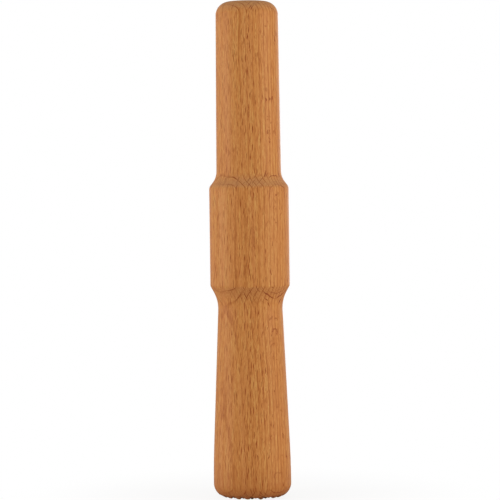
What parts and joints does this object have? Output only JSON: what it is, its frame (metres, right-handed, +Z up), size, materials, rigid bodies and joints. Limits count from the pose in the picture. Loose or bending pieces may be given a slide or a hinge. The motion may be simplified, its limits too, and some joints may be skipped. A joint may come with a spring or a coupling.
{
  "type": "kraut stomper",
  "caption": "Turned beech stomper for packing cabbage into a jar: round handle, mid collar, flared head and cross-cut toothed tamping face.",
  "frame": {"origin": "centre of the tamping face, on the plane of the tooth tips", "axes": "+Z up the turning axis from the tamping face to the end of the handle; -Y towards the camera of the picture"},
  "size_m": [0.0482, 0.0482, 0.3],
  "materials": {
    "beech": "turned and sanded beech, lightly oiled, satin"
  },
  "bodies": {
    "root": {"beech_stomper": "beech"}
  },
  "joints": []
}
